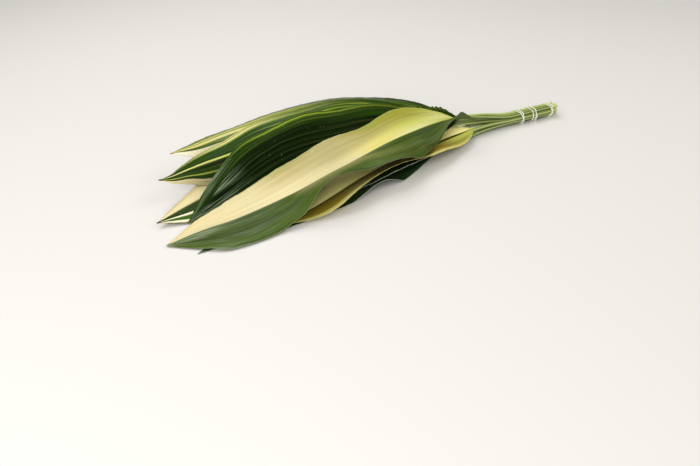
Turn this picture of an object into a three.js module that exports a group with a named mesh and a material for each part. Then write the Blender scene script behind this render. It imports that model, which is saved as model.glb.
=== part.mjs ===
// A tied bunch of ten cut leaves of the variegated cast iron plant (Aspidistra elatior), lying down.
// Units are millimetres and +Z is up. +X runs from the leaf tips to the cut stalk ends, and +Y runs
// from the near side, which faces the viewer, to the far side. The bunch lies on the plane z = 0.
//
// Every leaf is one closed solid: a grooved stalk that widens into a thin blade with a midrib. The
// leaves are laid one on another from the bottom up. Each starts from its own midrib line and the
// slopes of its two halves, and is then raised just enough to lie clear of the leaves under it.

import * as THREE from 'three';

// ---- Sizes ---------------------------------------------------------------------------------

const STALK_HALF_WIDTH = 3.0;
const STALK_THICKNESS = 4.6;
const STALK_EDGE_THICKNESS = 1.15;
const STALK_GROOVE_SLOPE = 35;          // degrees that the two sides of a stalk rise to its edges
const RIB_THICKNESS = 1.3;
const BLADE_THICKNESS = 0.8;
const TIP_HALF_WIDTH = 0.6;
const RIB_FADE = 0.25;                  // share of the blade over which the stalk thins to the rib
const RIB_FADE_POWER = 1.5;
const LEAST_BLADE_HALF_WIDTH = 1;
const THIN_RATIO = 3;                   // a face with points this many thicknesses apart is a blade
const RUFFLE_RISE = 1.2;                // waves have their full height before the full width
const LEAF_ROUGHNESS = 0.42;

// The bundle: the stalks lie side by side in three rows, along one straight line.
const BUNDLE_END = new THREE.Vector3(355, 10, 0);
const BUNDLE_AXIS = new THREE.Vector3(-0.99, 0.139, 0).normalize();
const BUNDLE_SIDE = new THREE.Vector3(0.139, 0.99, 0).normalize();
const BUNDLE_KNOTS = [70, 95];          // distances from the cut ends where the stalks run straight
const BUNDLE_START_X = 245;             // from here to the cut ends nothing is raised
const ROW_COUNTS = [3, 4, 3];
const STALK_PITCH = 6.6;
const ROW_PITCH = 5.6;
const LOWEST_STALK_Z = 4.9;             // leaves room for the ties under the bundle

// How the leaves lie on each other.
const GAP = 1.0;                        // clear height between one leaf and the next
const PILE_CELL = 1.0;                  // grid on which the height of the pile is kept
const PILE_REACH = 1;                   // cells around a point that it also counts for
const PILE_BOX = { x0: -380, x1: 380, y0: -110, y1: 300 };
const RAISE_ROUNDS = 6;
const STIFFNESS_STEPS = 160;
const STIFFNESS_DECAY = 0.93;           // how fast a raised stretch dies away along the blade
const LEAST_LIFT = 0.05;                // a smaller rise is not worth another round
const NARROW_SPACING = 3;               // rows with closer points than this are raised as one
const SETTLE_ROUNDS = 3;
const FLOOR_SNAP = 0.3;                 // points lower than this lie on the surface itself

// The net of one leaf, and the samples taken in each of its cells.
const STALK_STEPS = 9;
const BLADE_STEPS = 24;
const HALF_STEPS = 3;
const ACROSS = 2 * HALF_STEPS;
const NO_PINCH = [0, 1, 0, 0];          // for a leaf with an even base
const CELL_SAMPLES = 12;
const ARC_STEPS = 8;

// White elastic ties, each one closed loop wound several times round the bundle.
const TIE_RADIUS = 0.8;
const TIE_GAP = 0.7;
const TIE_SIDES = 6;
const TIE_STEPS_PER_TURN = 24;
const TIE_CROSSING = 0.75;              // radians over which one strand climbs over another
const TIE_COLOR = 0xf1f0e2;
const TIE_ROUGHNESS = 0.6;
const OUTLINE_STEPS = 360;              // points of the line round the bundle before it is divided

// ---- Leaves --------------------------------------------------------------------------------
// slot: row and place in the bundle. end: how far its cut end stands back from the bundle's end.
// near and far: half widths. tip: share of the blade over which the near half and the far half
// narrow to the tip. foot and footPower: the same towards the stalk. stalk: points between the
// bundle and the blade. rib: x, y, z, then the slopes in degrees of the near half at the rib and at
// its edge, and of the far half at the rib and at its edge. A positive slope rises from the rib.
// ruffles: height, length and phase of an edge's waves, near edge (1) or far edge (-1).
// footStart: share of the blade at its base where a half is still as narrow as the stalk.
// pinch: place, reach and depth of a waist near the base, as shares of the blade and of its width,
// and the edge that has it. A depth below zero is a lobe.

const LEAVES = [
  {
    name: 'leaf_01', slot: [0, 0], end: 1, near: 42, far: 44, tip: [0.4, 0.4],
    foot: [0.36, 0.36], footPower: [2.6, 2], color: 0x1f4a2a,
    stalk: [[210, 18, 6]],
    rib: [
      [160, 16, 6, -10, -10, 10, 10], [100, 13, 3, -6, -4, 5, 5], [50, 10, 1, -4, -4, 4, 4],
      [5, 5, 0, -3, -3, 2, 2], [-40, -4, 0, 9, 33, 2, 2], [-100, -8, 0, 0, 0, 0, 0],
      [-150, -12, 0, 0, 0, 0, 0], [-250, -28, 0, 0, 0, 0, 0], [-324, -41, 0, 0, 0, 0, 0],
    ],
  },
  {
    name: 'leaf_02', slot: [0, 1], end: -3, near: 42, far: 44, tip: [0.4, 0.4],
    foot: [0.38, 0.38], footPower: [1.6, 1.6], color: 0x2c5a34,
    stalk: [[210, 25, 7]],
    rib: [
      [165, 24, 8, -10, -10, 10, 10], [100, 16, 7, 10, 14, 5, 5], [50, 12, 6, 16, 20, 3, 3],
      [0, 10, 5, 14, 18, 2, 2], [-50, 12, 5, 4, 4, 2, 2], [-130, 14, 4, 0, 0, 0, 0],
      [-205, 12, 3, 0, 0, 0, 0],
    ],
  },
  {
    name: 'leaf_03', slot: [0, 2], end: -1, near: 49, far: 46, tip: [0.19, 0.42],
    foot: [0.35, 0.35], footPower: [1, 1], color: 0xd8cf96,
    ruffles: [[2.5, 80, 0, 1], [2.5, 80, 1, -1]],
    stalk: [[210, 34, 10]],
    rib: [
      [150, 38, 9, -20, -20, 20, 20], [50, 62, 6, -8, -8, -1, -8],
      [-50, 82, 2.2, -5, -5, -3, -10], [-150, 90, 6, -5, -6, -1, -5],
      [-230, 82, 11, -8, -12, 7, 9], [-290, 66, 11, -14, -22, 15, 17],
      [-343, 54, 7, -12, -24, 5, 5],
    ],
  },
  {
    name: 'leaf_04', slot: [1, 0], end: 3, near: 44, far: 46, tip: [0.3, 0.3],
    foot: [0.33, 0.3], footPower: [0.8, 0.8], color: 0xb6b45c,
    stalk: [[225, 17.5, 12]],
    rib: [
      [185, 20, 13, -10, -10, 30, 30], [150, 16, 12, -6, -6, 25, 20],
      [100, 14, 8, 12, 14, 15, 14], [50, 7, 6, 18, 22, 12, 12], [0, 0, 6, 28, 33, 10, 10],
      [-50, -11, 5, 31, 36, 8, 8], [-100, -25, 4, 27, 32, 8, 8], [-150, -35, 2, 10, 12, 6, 6],
      [-212, -40, 1.5, 0, 0, 0, 0],
    ],
  },
  {
    name: 'leaf_05', slot: [1, 2], end: -2, near: 42, far: 44, tip: [0.42, 0.42],
    foot: [0.35, 0.35], footPower: [1, 1], color: 0x33602f,
    ruffles: [[2.5, 85, 0, -1]],
    stalk: [[210, 35.5, 17]],
    rib: [
      [150, 44, 24, -20, -20, 15, 15], [50, 84, 40, -16, -16, 4, -5],
      [-50, 108, 46, -16, -18, -4, -12], [-150, 120, 42, -14, -16, -6, -14],
      [-220, 122, 30, -8, -12, -6, -8], [-258, 114, 19, 0, 0, 0, 0],
    ],
  },
  {
    name: 'leaf_06', slot: [1, 1], end: 0, near: 36, far: 44, tip: [0.42, 0.42],
    foot: [0.35, 0.35], footPower: [1, 1], color: 0x4f7c35,
    stalk: [[210, 27.5, 15.5]],
    rib: [
      [150, 32, 24, -20, -20, 20, 20], [50, 50, 32, -22, -24, 8, 0],
      [-50, 66, 34, -24, -26, 4, -4], [-130, 68, 26, -18, -20, 2, -2], [-205, 60, 12, 0, 0, 0, 0],
    ],
  },
  {
    name: 'leaf_07', slot: [1, 3], end: 2, near: 42, far: 44, tip: [0.24, 0.42],
    foot: [0.35, 0.35], footPower: [1, 1], color: 0x9fb45a,
    stalk: [[210, 45, 17]],
    rib: [
      [155, 51, 31, -40, -50, 35, 30], [100, 84, 51, -35, -45, 10, 0],
      [50, 110, 65, -30, -36, -6, -14], [0, 132, 74, -28, -32, -12, -20],
      [-50, 142, 75, -28, -32, -14, -22], [-100, 149, 72, -28, -32, -16, -22],
      [-150, 154, 66, -26, -30, -16, -22], [-200, 166, 55, -20, -24, -12, -16],
      [-240, 172, 47, -28, -40, -5, -5], [-270, 179, 42, -10, -20, 0, 0],
    ],
  },
  {
    name: 'leaf_08', slot: [2, 2], end: 1, near: 48, far: 45, tip: [0.19, 0.42],
    foot: [0.35, 0.35], footPower: [1, 1], color: 0x4c7f33,
    stalk: [[210, 39, 24]],
    rib: [
      [150, 42, 32, -40, -50, 40, 40], [100, 54, 44, -35, -45, 12, 8],
      [50, 70, 55, -32, -45, 9, 7], [0, 84, 62, -30, -42, 9, 7], [-50, 92, 65, -28, -40, 11, 9],
      [-100, 98, 64, -28, -40, 12, 10], [-150, 102, 60, -28, -45, 12, 12],
      [-200, 106, 48, -28, -70, 13, 13], [-250, 111, 41, -44, -95, 20, 20],
      [-314, 111, 34, -32, -65, 8, 8],
    ],
  },
  {
    name: 'leaf_09', slot: [2, 1], end: -2, near: 48, far: 50, tip: [0.34, 0.34],
    foot: [0.3, 0.4], footPower: [1, 1], color: 0x1c3216,
    pinch: [0.06, 0.04, -0.5, -1],
    ruffles: [[2.5, 110, 0, -1]],
    stalk: [[210, 31, 24]],
    rib: [
      [168, 31, 33, -50, -60, 55, 50], [140, 32, 38, -48, -52, 46, 42],
      [100, 38, 44, -42, -46, 38, 34], [50, 47, 47, -40, -44, 33, 30],
      [0, 54, 50, -40, -46, 34, 31], [-50, 60, 50, -40, -46, 35, 33],
      [-100, 64, 49, -40, -46, 36, 34], [-150, 66, 38, -40, -42, 32, 29],
      [-200, 62, 24, -32, -28, 30, 28], [-250, 51, 13, -30, -18, 42, 40],
      [-307, 35, 2, 0, 0, 0, 0],
    ],
  },
  {
    name: 'leaf_10', slot: [2, 0], end: 0, near: 60, far: 50, tip: [0.15, 0.26],
    foot: [0.4, 0.22], footPower: [1.2, 1], color: 0xe8dc9c,
    footStart: [0, 0.085],
    pinch: [0.125, 0.035, 0.5, 1],
    ruffles: [[3, 95, 0.5, 1], [2.5, 120, 1, -1]],
    stalk: [[215, 21, 26]],
    rib: [
      [188, 20.2, 32, 60, 70, 60, 60], [165, 18.7, 37.5, 75, 80, 60, 60],
      [150, 17.3, 42, 68, 72, 60, 57], [136, 16.5, 44.5, 40, 38, 56, 50],
      [122, 16, 46, 0, -6, 54, 49], [106, 16, 46, -40, -46, 52, 48],
      [50, 14, 42, -26, -38, 36, 34], [0, 12, 37, -3, -9, 26, 25], [-50, 11, 29, 34, 0, 28, 31],
      [-100, 5, 24.5, 38, 12, 31, 35], [-150, 1, 16.5, 24, 22, 21, 27],
      [-175, 0, 13, 5, 5, 12, 14], [-200, -1, 10, -4, -6, 6, 7], [-250, -4, 7, -8, -9, 5, 6],
      [-300, 1, 4, -5, -5, 0, 0], [-351, 0, 1, 0, 0, 0, 0],
    ],
  },
];

// ---- Smooth lines --------------------------------------------------------------------------

// Cubic interpolation of rows of numbers given at rising knots.
function interpolate(knots, rows, at) {
  const last = knots.length - 1;
  const slope = (k, c) => (rows[k + 1][c] - rows[k][c]) / (knots[k + 1] - knots[k]);
  const tangent = (k, c) => {
    if (k === 0) return slope(0, c);
    if (k === last) return slope(last - 1, c);
    const before = knots[k] - knots[k - 1];
    const after = knots[k + 1] - knots[k];
    return (slope(k - 1, c) * after + slope(k, c) * before) / (before + after);
  };
  let k = 0;
  while (k < last - 1 && knots[k + 1] <= at) k += 1;
  const step = knots[k + 1] - knots[k];
  const t = (at - knots[k]) / step;
  return rows[k].map((start, c) => (1 + 2 * t) * (1 - t) ** 2 * start
    + t * (1 - t) ** 2 * step * tangent(k, c)
    + t * t * (3 - 2 * t) * rows[k + 1][c]
    + t * t * (t - 1) * step * tangent(k + 1, c));
}

const clamp01 = (value) => Math.min(1, Math.max(0, value));
const ease = (value) => Math.sin((Math.PI / 2) * clamp01(value));
const radians = (degrees) => (degrees * Math.PI) / 180;

// ---- One leaf ------------------------------------------------------------------------------

// The stalk's place in the bundle: sideways offset and height.
function slotPlace([row, place]) {
  return {
    side: (place - (ROW_COUNTS[row] - 1) / 2) * STALK_PITCH,
    height: LOWEST_STALK_Z + row * ROW_PITCH,
  };
}

function bundlePoint(leaf, distance) {
  const { side, height } = slotPlace(leaf.slot);
  return BUNDLE_END.clone()
    .addScaledVector(BUNDLE_AXIS, distance)
    .addScaledVector(BUNDLE_SIDE, side)
    .setZ(height)
    .toArray();
}

// Offset across a half blade that bends evenly from one slope to another: [sideways, up].
function arcOffset(share, width, slopeIn, slopeOut) {
  let sideways = 0;
  let up = 0;
  for (let k = 0; k < ARC_STEPS; k += 1) {
    const slope = slopeIn + (slopeOut - slopeIn) * share * ((k + 0.5) / ARC_STEPS);
    sideways += Math.cos(slope);
    up += Math.sin(slope);
  }
  const scale = (share * width) / ARC_STEPS;
  return [sideways * scale, up * scale];
}

// The middle surface of a leaf as a net: rows run from the cut end to the tip, and places in a
// row run from the far edge (0) over the midrib (HALF_STEPS) to the near edge (ACROSS).
function leafNet(leaf) {
  const points = [
    bundlePoint(leaf, leaf.end),
    ...BUNDLE_KNOTS.map((distance) => bundlePoint(leaf, distance)),
    ...leaf.stalk,
  ];
  const stalkPoints = points.length;
  const slopes = points.map(() => Array(4).fill(STALK_GROOVE_SLOPE));
  for (const [x, y, z, ...four] of leaf.rib) {
    points.push([x, y, z]);
    slopes.push(four);
  }
  const knots = [0];
  for (let k = 1; k < points.length; k += 1) {
    const step = Math.hypot(...points[k].map((value, c) => value - points[k - 1][c]));
    knots.push(knots[k - 1] + step);
  }
  const bladeStart = knots[stalkPoints];
  const tipEnd = knots[knots.length - 1];
  const stations = [];
  for (let k = 0; k < STALK_STEPS; k += 1) stations.push((bladeStart * k) / STALK_STEPS);
  for (let k = 0; k <= BLADE_STEPS; k += 1) {
    stations.push(bladeStart + ((tipEnd - bladeStart) * k) / BLADE_STEPS);
  }

  const up = new THREE.Vector3(0, 0, 1);
  const net = { leaf, rows: [], normals: [], thickness: [], spacing: [] };
  stations.forEach((s, i) => {
    const centre = new THREE.Vector3(...interpolate(knots, points, s));
    const ahead = new THREE.Vector3(...interpolate(knots, points, Math.min(s + 1, tipEnd)));
    const behind = new THREE.Vector3(...interpolate(knots, points, Math.max(s - 1, 0)));
    const along = ahead.sub(behind).normalize();
    const nearSide = new THREE.Vector3().crossVectors(up, along).normalize();
    const normal = new THREE.Vector3().crossVectors(along, nearSide);
    const [nearIn, nearOut, farIn, farOut] = interpolate(knots, slopes, s).map(radians);
    const inBlade = i >= STALK_STEPS;
    const fromTip = clamp01((tipEnd - s) / (tipEnd - bladeStart));
    const stalkShare = inBlade ? clamp01((fromTip - 1) / RIB_FADE + 1) ** RIB_FADE_POWER : 1;
    const row = Array(ACROSS + 1);
    const thick = Array(ACROSS + 1);
    const spacing = Array(ACROSS + 1);
    const halves = [
      { sign: 1, full: leaf.near, slopeIn: nearIn, slopeOut: nearOut, half: 0 },
      { sign: -1, full: leaf.far, slopeIn: farIn, slopeOut: farOut, half: 1 },
    ];
    for (const { sign, full, slopeIn, slopeOut, half } of halves) {
      const fromFoot = 1 - fromTip - (leaf.footStart ?? [0, 0])[half];
      const [at, reach, depth, side] = leaf.pinch ?? NO_PINCH;
      const pinched = side === sign ? depth * Math.exp(-(((1 - fromTip - at) / reach) ** 2)) : 0;
      const profile = ease(fromTip / leaf.tip[half])
        * ease(fromFoot / leaf.foot[half]) ** leaf.footPower[half] * (1 - pinched);
      let width = STALK_HALF_WIDTH;
      if (inBlade) {
        width = Math.max(full * profile, STALK_HALF_WIDTH * fromTip ** 3, LEAST_BLADE_HALF_WIDTH);
      }
      if (i === stations.length - 1) width = TIP_HALF_WIDTH;
      const ruffle = inBlade ? edgeRuffle(leaf, sign, s - bladeStart, profile) : 0;
      for (let k = 0; k <= HALF_STEPS; k += 1) {
        const share = k / HALF_STEPS;
        const [sideways, rise] = arcOffset(share, width, slopeIn, slopeOut);
        const j = HALF_STEPS + sign * k;
        row[j] = centre.clone()
          .addScaledVector(nearSide, sign * sideways)
          .addScaledVector(normal, rise + ruffle * share * share);
        const stalk = STALK_THICKNESS - (STALK_THICKNESS - STALK_EDGE_THICKNESS) * share * share;
        const blade = BLADE_THICKNESS + (RIB_THICKNESS - BLADE_THICKNESS) * (1 - share) ** 2;
        thick[j] = blade + (stalk - blade) * stalkShare;
        spacing[j] = width / HALF_STEPS;
      }
    }
    net.rows.push(row);
    net.normals.push(normal);
    net.thickness.push(thick);
    net.spacing.push(spacing);
  });
  return net;
}

// Height of the waves at one edge of the blade.
function edgeRuffle(leaf, sign, distance, profile) {
  let height = 0;
  for (const [size, length, phase, side] of leaf.ruffles ?? []) {
    if (side === sign) height += size * Math.sin((2 * Math.PI * distance) / length + phase);
  }
  return height * Math.min(1, RUFFLE_RISE * profile);
}

// The upper and lower faces, half a thickness to either side of the middle surface. Where the leaf
// is narrow and thick, as in the stalk, the thickness is measured straight up and down.
function faces(net) {
  const { rows, normals, thickness, spacing } = net;
  const last = rows.length - 2;
  const upper = [];
  const lower = [];
  rows.forEach((row, i) => {
    const middle = Math.min(i, last);
    const above = [];
    const below = [];
    row.forEach((point, j) => {
      const along = new THREE.Vector3()
        .subVectors(rows[middle + 1][j], rows[Math.max(middle - 1, 0)][j]);
      const across = new THREE.Vector3()
        .subVectors(rows[middle][Math.min(j + 1, ACROSS)], rows[middle][Math.max(j - 1, 0)]);
      const upright = new THREE.Vector3().crossVectors(along, across).normalize();
      const thin = clamp01(spacing[i][j] / (THIN_RATIO * thickness[i][j]));
      const direction = normals[i].clone().lerp(upright, thin).normalize();
      above.push(point.clone().addScaledVector(direction, thickness[i][j] / 2));
      below.push(point.clone().addScaledVector(direction, -thickness[i][j] / 2));
    });
    upper.push(above);
    lower.push(below);
  });
  return { upper, lower };
}

// ---- Laying the leaves down ----------------------------------------------------------------

const pileColumns = Math.round((PILE_BOX.x1 - PILE_BOX.x0) / PILE_CELL);
const pileRows = Math.round((PILE_BOX.y1 - PILE_BOX.y0) / PILE_CELL);
const pileIndex = (x, y) => {
  const column = Math.floor((x - PILE_BOX.x0) / PILE_CELL);
  const row = Math.floor((y - PILE_BOX.y0) / PILE_CELL);
  return column * pileRows + row;
};

// Calls visit(i, j, x, y, z) for evenly spread samples of every cell of a face.
function sampleFace(face, visit) {
  for (let i = 0; i < face.length - 1; i += 1) {
    for (let j = 0; j < ACROSS; j += 1) {
      const [a, b, c, d] = [face[i][j], face[i + 1][j], face[i][j + 1], face[i + 1][j + 1]];
      for (let p = 0; p < CELL_SAMPLES; p += 1) {
        const u = (p + 0.5) / CELL_SAMPLES;
        for (let q = 0; q < CELL_SAMPLES; q += 1) {
          const v = (q + 0.5) / CELL_SAMPLES;
          const mix = (k) => (a[k] * (1 - u) + b[k] * u) * (1 - v) + (c[k] * (1 - u) + d[k] * u) * v;
          visit(i, j, mix('x'), mix('y'), mix('z'));
        }
      }
    }
  }
}

// No point of a leaf is under the surface: what would be lies flat on it.
function settle(net) {
  for (let round = 0; round < SETTLE_ROUNDS; round += 1) {
    const { upper, lower } = faces(net);
    net.rows.forEach((row, i) => row.forEach((point, j) => {
      point.z += Math.max(0, -Math.min(upper[i][j].z, lower[i][j].z));
    }));
  }
}

// Raises a leaf clear of the pile, as a springy blade would lie on it.
function raise(net, pile) {
  const rows = net.rows.length;
  const bundled = net.rows.map((row) => row[HALF_STEPS].x > BUNDLE_START_X);
  // A narrow row rises as one, so that neither a stalk nor a tip is twisted.
  const narrow = net.spacing.map((row) => Math.max(row[0], row[ACROSS]) < NARROW_SPACING);
  const levelNarrow = (rises) => rises.forEach((row, i) => {
    if (narrow[i]) row.fill(Math.max(...row));
  });
  for (let round = 0; round < RAISE_ROUNDS; round += 1) {
    const need = net.rows.map(() => Array(ACROSS + 1).fill(0));
    let most = 0;
    const { upper, lower } = faces(net);
    for (const face of [upper, lower]) {
      sampleFace(face, (i, j, x, y, z) => {
        const height = pile[pileIndex(x, y)];
        if (height < FLOOR_SNAP || bundled[i]) return;
        const missing = height + GAP - z;
        if (missing <= 0) return;
        most = Math.max(most, missing);
        for (const [di, dj] of [[0, 0], [1, 0], [0, 1], [1, 1]]) {
          need[i + di][j + dj] = Math.max(need[i + di][j + dj], missing);
        }
      });
    }
    if (most < LEAST_LIFT) break;
    levelNarrow(need);
    let lift = need.map((row) => row.slice());
    for (let step = 0; step < STIFFNESS_STEPS; step += 1) {
      const at = (i, j) => lift[Math.min(Math.max(i, 0), rows - 1)][Math.min(Math.max(j, 0), ACROSS)];
      lift = lift.map((row, i) => row.map((value, j) => {
        const spread = (at(i - 1, j) + at(i + 1, j) + at(i, j - 1) + at(i, j + 1)) / 4;
        const held = bundled[i] ? 0 : spread * STIFFNESS_DECAY;
        return Math.max(need[i][j], held);
      }));
    }
    levelNarrow(lift);
    net.rows.forEach((row, i) => row.forEach((point, j) => {
      point.z += lift[i][j];
    }));
  }
}

function addToPile(net, pile) {
  const { upper, lower } = faces(net);
  for (const face of [upper, lower]) {
    sampleFace(face, (i, j, x, y, z) => {
      for (let dx = -PILE_REACH; dx <= PILE_REACH; dx += 1) {
        for (let dy = -PILE_REACH; dy <= PILE_REACH; dy += 1) {
          const index = pileIndex(x + dx * PILE_CELL, y + dy * PILE_CELL);
          pile[index] = Math.max(pile[index], z);
        }
      }
    });
  }
}

function layLeaves() {
  const pile = new Float64Array(pileColumns * pileRows);
  return LEAVES.map((leaf) => {
    const net = leafNet(leaf);
    settle(net);
    raise(net, pile);
    settle(net);
    addToPile(net, pile);
    return net;
  });
}

// ---- Solids --------------------------------------------------------------------------------

// Closes the upper and lower faces into one solid. Both faces are split along like diagonals.
function leafGeometry(net) {
  const { upper, lower } = faces(net);
  const rows = upper.length;
  const width = ACROSS + 1;
  const positions = [];
  for (const face of [upper, lower]) {
    for (const row of face) {
      for (const point of row) {
        const z = point.z < FLOOR_SNAP ? 0 : point.z;
        positions.push(point.x, point.y, face === lower ? z : point.z);
      }
    }
  }
  const top = (i, j) => i * width + j;
  const bottom = (i, j) => rows * width + i * width + j;
  const triangles = [];
  for (let i = 0; i < rows - 1; i += 1) {
    for (let j = 0; j < ACROSS; j += 1) {
      triangles.push(top(i, j), top(i + 1, j), top(i, j + 1));
      triangles.push(top(i + 1, j), top(i + 1, j + 1), top(i, j + 1));
      triangles.push(bottom(i, j), bottom(i, j + 1), bottom(i + 1, j));
      triangles.push(bottom(i + 1, j), bottom(i, j + 1), bottom(i + 1, j + 1));
    }
    triangles.push(top(i, 0), bottom(i, 0), top(i + 1, 0));
    triangles.push(bottom(i, 0), bottom(i + 1, 0), top(i + 1, 0));
    triangles.push(top(i, ACROSS), top(i + 1, ACROSS), bottom(i, ACROSS));
    triangles.push(bottom(i, ACROSS), top(i + 1, ACROSS), bottom(i + 1, ACROSS));
  }
  for (let j = 0; j < ACROSS; j += 1) {
    const end = rows - 1;
    triangles.push(top(0, j), top(0, j + 1), bottom(0, j));
    triangles.push(bottom(0, j), top(0, j + 1), bottom(0, j + 1));
    triangles.push(top(end, j), bottom(end, j), top(end, j + 1));
    triangles.push(bottom(end, j), bottom(end, j + 1), top(end, j + 1));
  }
  return solidGeometry(positions, triangles);
}

function solidGeometry(positions, triangles) {
  const geometry = new THREE.BufferGeometry();
  geometry.setAttribute('position', new THREE.Float32BufferAttribute(positions, 3));
  geometry.setIndex(triangles);
  geometry.computeVertexNormals();
  return geometry;
}

// ---- Ties ----------------------------------------------------------------------------------
// at: distance from the cut ends. turns: strands side by side. spread: half the width that the
// strands cover. slant: how much further on the tie sits at the top than at the bottom. start: the
// angle round the bundle, from the top over the far side, where the strands lie furthest apart.

const TIES = [
  { name: 'tie_01', at: 72, turns: 2, spread: 3.4, slant: 2, start: 90 },
  { name: 'tie_02', at: 48, turns: 3, spread: 3.6, slant: 1, start: -90 },
  { name: 'tie_03', at: 15, turns: 2, spread: 3.4, slant: -4, start: 90 },
];

// The stalks' corners in the bundle, as [side, height].
function bundleCorners(nets) {
  const corners = [];
  const reach = BUNDLE_KNOTS[BUNDLE_KNOTS.length - 1];
  for (const net of nets) {
    const { upper, lower } = faces(net);
    for (const point of [...upper, ...lower].flat()) {
      const fromEnd = point.clone().sub(BUNDLE_END);
      if (fromEnd.dot(BUNDLE_AXIS) < reach) corners.push([fromEnd.dot(BUNDLE_SIDE), point.z]);
    }
  }
  return corners;
}

// The line round the bundle at a given clearance, as [side, height] for evenly spaced points. It
// starts at the top and goes down the far side first.
function bundleOutline(corners, clearance, count) {
  const outline = [];
  for (let k = 0; k <= OUTLINE_STEPS; k += 1) {
    const angle = (2 * Math.PI * k) / OUTLINE_STEPS;
    const direction = [Math.sin(angle), Math.cos(angle)];
    const reach = (corner) => corner[0] * direction[0] + corner[1] * direction[1];
    const best = corners.reduce((a, b) => (reach(b) > reach(a) ? b : a));
    outline.push([best[0] + clearance * direction[0], best[1] + clearance * direction[1]]);
  }
  const lengths = [0];
  for (let k = 1; k <= OUTLINE_STEPS; k += 1) {
    const [a, b] = [outline[k - 1], outline[k]];
    lengths.push(lengths[k - 1] + Math.hypot(b[0] - a[0], b[1] - a[1]));
  }
  const points = [];
  let n = 0;
  for (let k = 0; k < count; k += 1) {
    const target = (lengths[OUTLINE_STEPS] * k) / count;
    while (lengths[n + 1] <= target) n += 1;
    const t = (target - lengths[n]) / (lengths[n + 1] - lengths[n]);
    points.push(outline[n].map((value, c) => value + (outline[n + 1][c] - value) * t));
  }
  return points;
}

// How far a strand rides over the others, from 0 to 1, by its angle along the winding.
function overlap(angle, turns) {
  const last = (2 * turns - 1) * Math.PI;
  const first = turns === 2 ? last : last - Math.PI;
  const outside = Math.max(first - angle, angle - last, 0);
  return Math.exp(-((outside / TIE_CROSSING) ** 2));
}

// A band wound several times is one loop: its strands swing from side to side as they go round,
// and where two of them cross, one rides over the other.
function tieGeometry(tie, corners) {
  const inner = bundleOutline(corners, TIE_GAP + TIE_RADIUS, TIE_STEPS_PER_TURN);
  const outer = bundleOutline(corners, 2 * TIE_GAP + 3 * TIE_RADIUS, TIE_STEPS_PER_TURN);
  const path = [];
  for (let k = 0; k < TIE_STEPS_PER_TURN * tie.turns; k += 1) {
    const winding = (2 * Math.PI * k) / TIE_STEPS_PER_TURN;
    const shift = Math.round((tie.start / 360) * TIE_STEPS_PER_TURN) + TIE_STEPS_PER_TURN;
    const place = (k + shift) % TIE_STEPS_PER_TURN;
    const round = (2 * Math.PI * place) / TIE_STEPS_PER_TURN;
    const swing = tie.spread * Math.cos(winding / tie.turns);
    const lean = (tie.slant / 2) * Math.cos(round);
    const over = overlap(winding, tie.turns);
    const [side, height] = inner[place].map((value, c) => value + (outer[place][c] - value) * over);
    path.push(BUNDLE_END.clone()
      .addScaledVector(BUNDLE_AXIS, tie.at + swing + lean)
      .addScaledVector(BUNDLE_SIDE, side)
      .setZ(height));
  }
  return ringGeometry(path, TIE_RADIUS, TIE_SIDES);
}

// A closed round tube along a closed line.
function ringGeometry(path, radius, sides) {
  const positions = [];
  const triangles = [];
  const count = path.length;
  for (let k = 0; k < count; k += 1) {
    const along = new THREE.Vector3()
      .subVectors(path[(k + 1) % count], path[(k - 1 + count) % count]).normalize();
    const first = BUNDLE_AXIS.clone().addScaledVector(along, -BUNDLE_AXIS.dot(along)).normalize();
    const second = new THREE.Vector3().crossVectors(along, first);
    for (let m = 0; m < sides; m += 1) {
      const angle = (2 * Math.PI * m) / sides;
      const point = path[k].clone()
        .addScaledVector(first, radius * Math.cos(angle))
        .addScaledVector(second, radius * Math.sin(angle));
      positions.push(point.x, point.y, point.z);
    }
    for (let m = 0; m < sides; m += 1) {
      const next = (k + 1) % count;
      const turn = (m + 1) % sides;
      triangles.push(k * sides + m, k * sides + turn, next * sides + m);
      triangles.push(k * sides + turn, next * sides + turn, next * sides + m);
    }
  }
  return solidGeometry(positions, triangles);
}

// ---- The bunch -----------------------------------------------------------------------------

const group = new THREE.Group();
group.name = 'tied_leaf_bunch';

function addPart(name, geometry, color, roughness) {
  const material = new THREE.MeshStandardMaterial({ color, roughness, metalness: 0 });
  const mesh = new THREE.Mesh(geometry, material);
  mesh.name = name;
  group.add(mesh);
}

const nets = layLeaves();
for (const net of nets) addPart(net.leaf.name, leafGeometry(net), net.leaf.color, LEAF_ROUGHNESS);
const corners = bundleCorners(nets);
for (const tie of TIES) {
  addPart(tie.name, tieGeometry(tie, corners), TIE_COLOR, TIE_ROUGHNESS);
}

// The origin comes under the middle of the bunch, on the surface that it lies on.
const middle = new THREE.Box3().setFromObject(group).getCenter(new THREE.Vector3());
for (const mesh of group.children) mesh.geometry.translate(-middle.x, -middle.y, 0);

export default group;
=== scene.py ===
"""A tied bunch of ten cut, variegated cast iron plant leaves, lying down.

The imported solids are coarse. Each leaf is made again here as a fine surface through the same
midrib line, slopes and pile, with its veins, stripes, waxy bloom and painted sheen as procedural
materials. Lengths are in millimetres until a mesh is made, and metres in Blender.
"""

import math

import bpy
import numpy as np
from mathutils import Matrix, Vector


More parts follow.
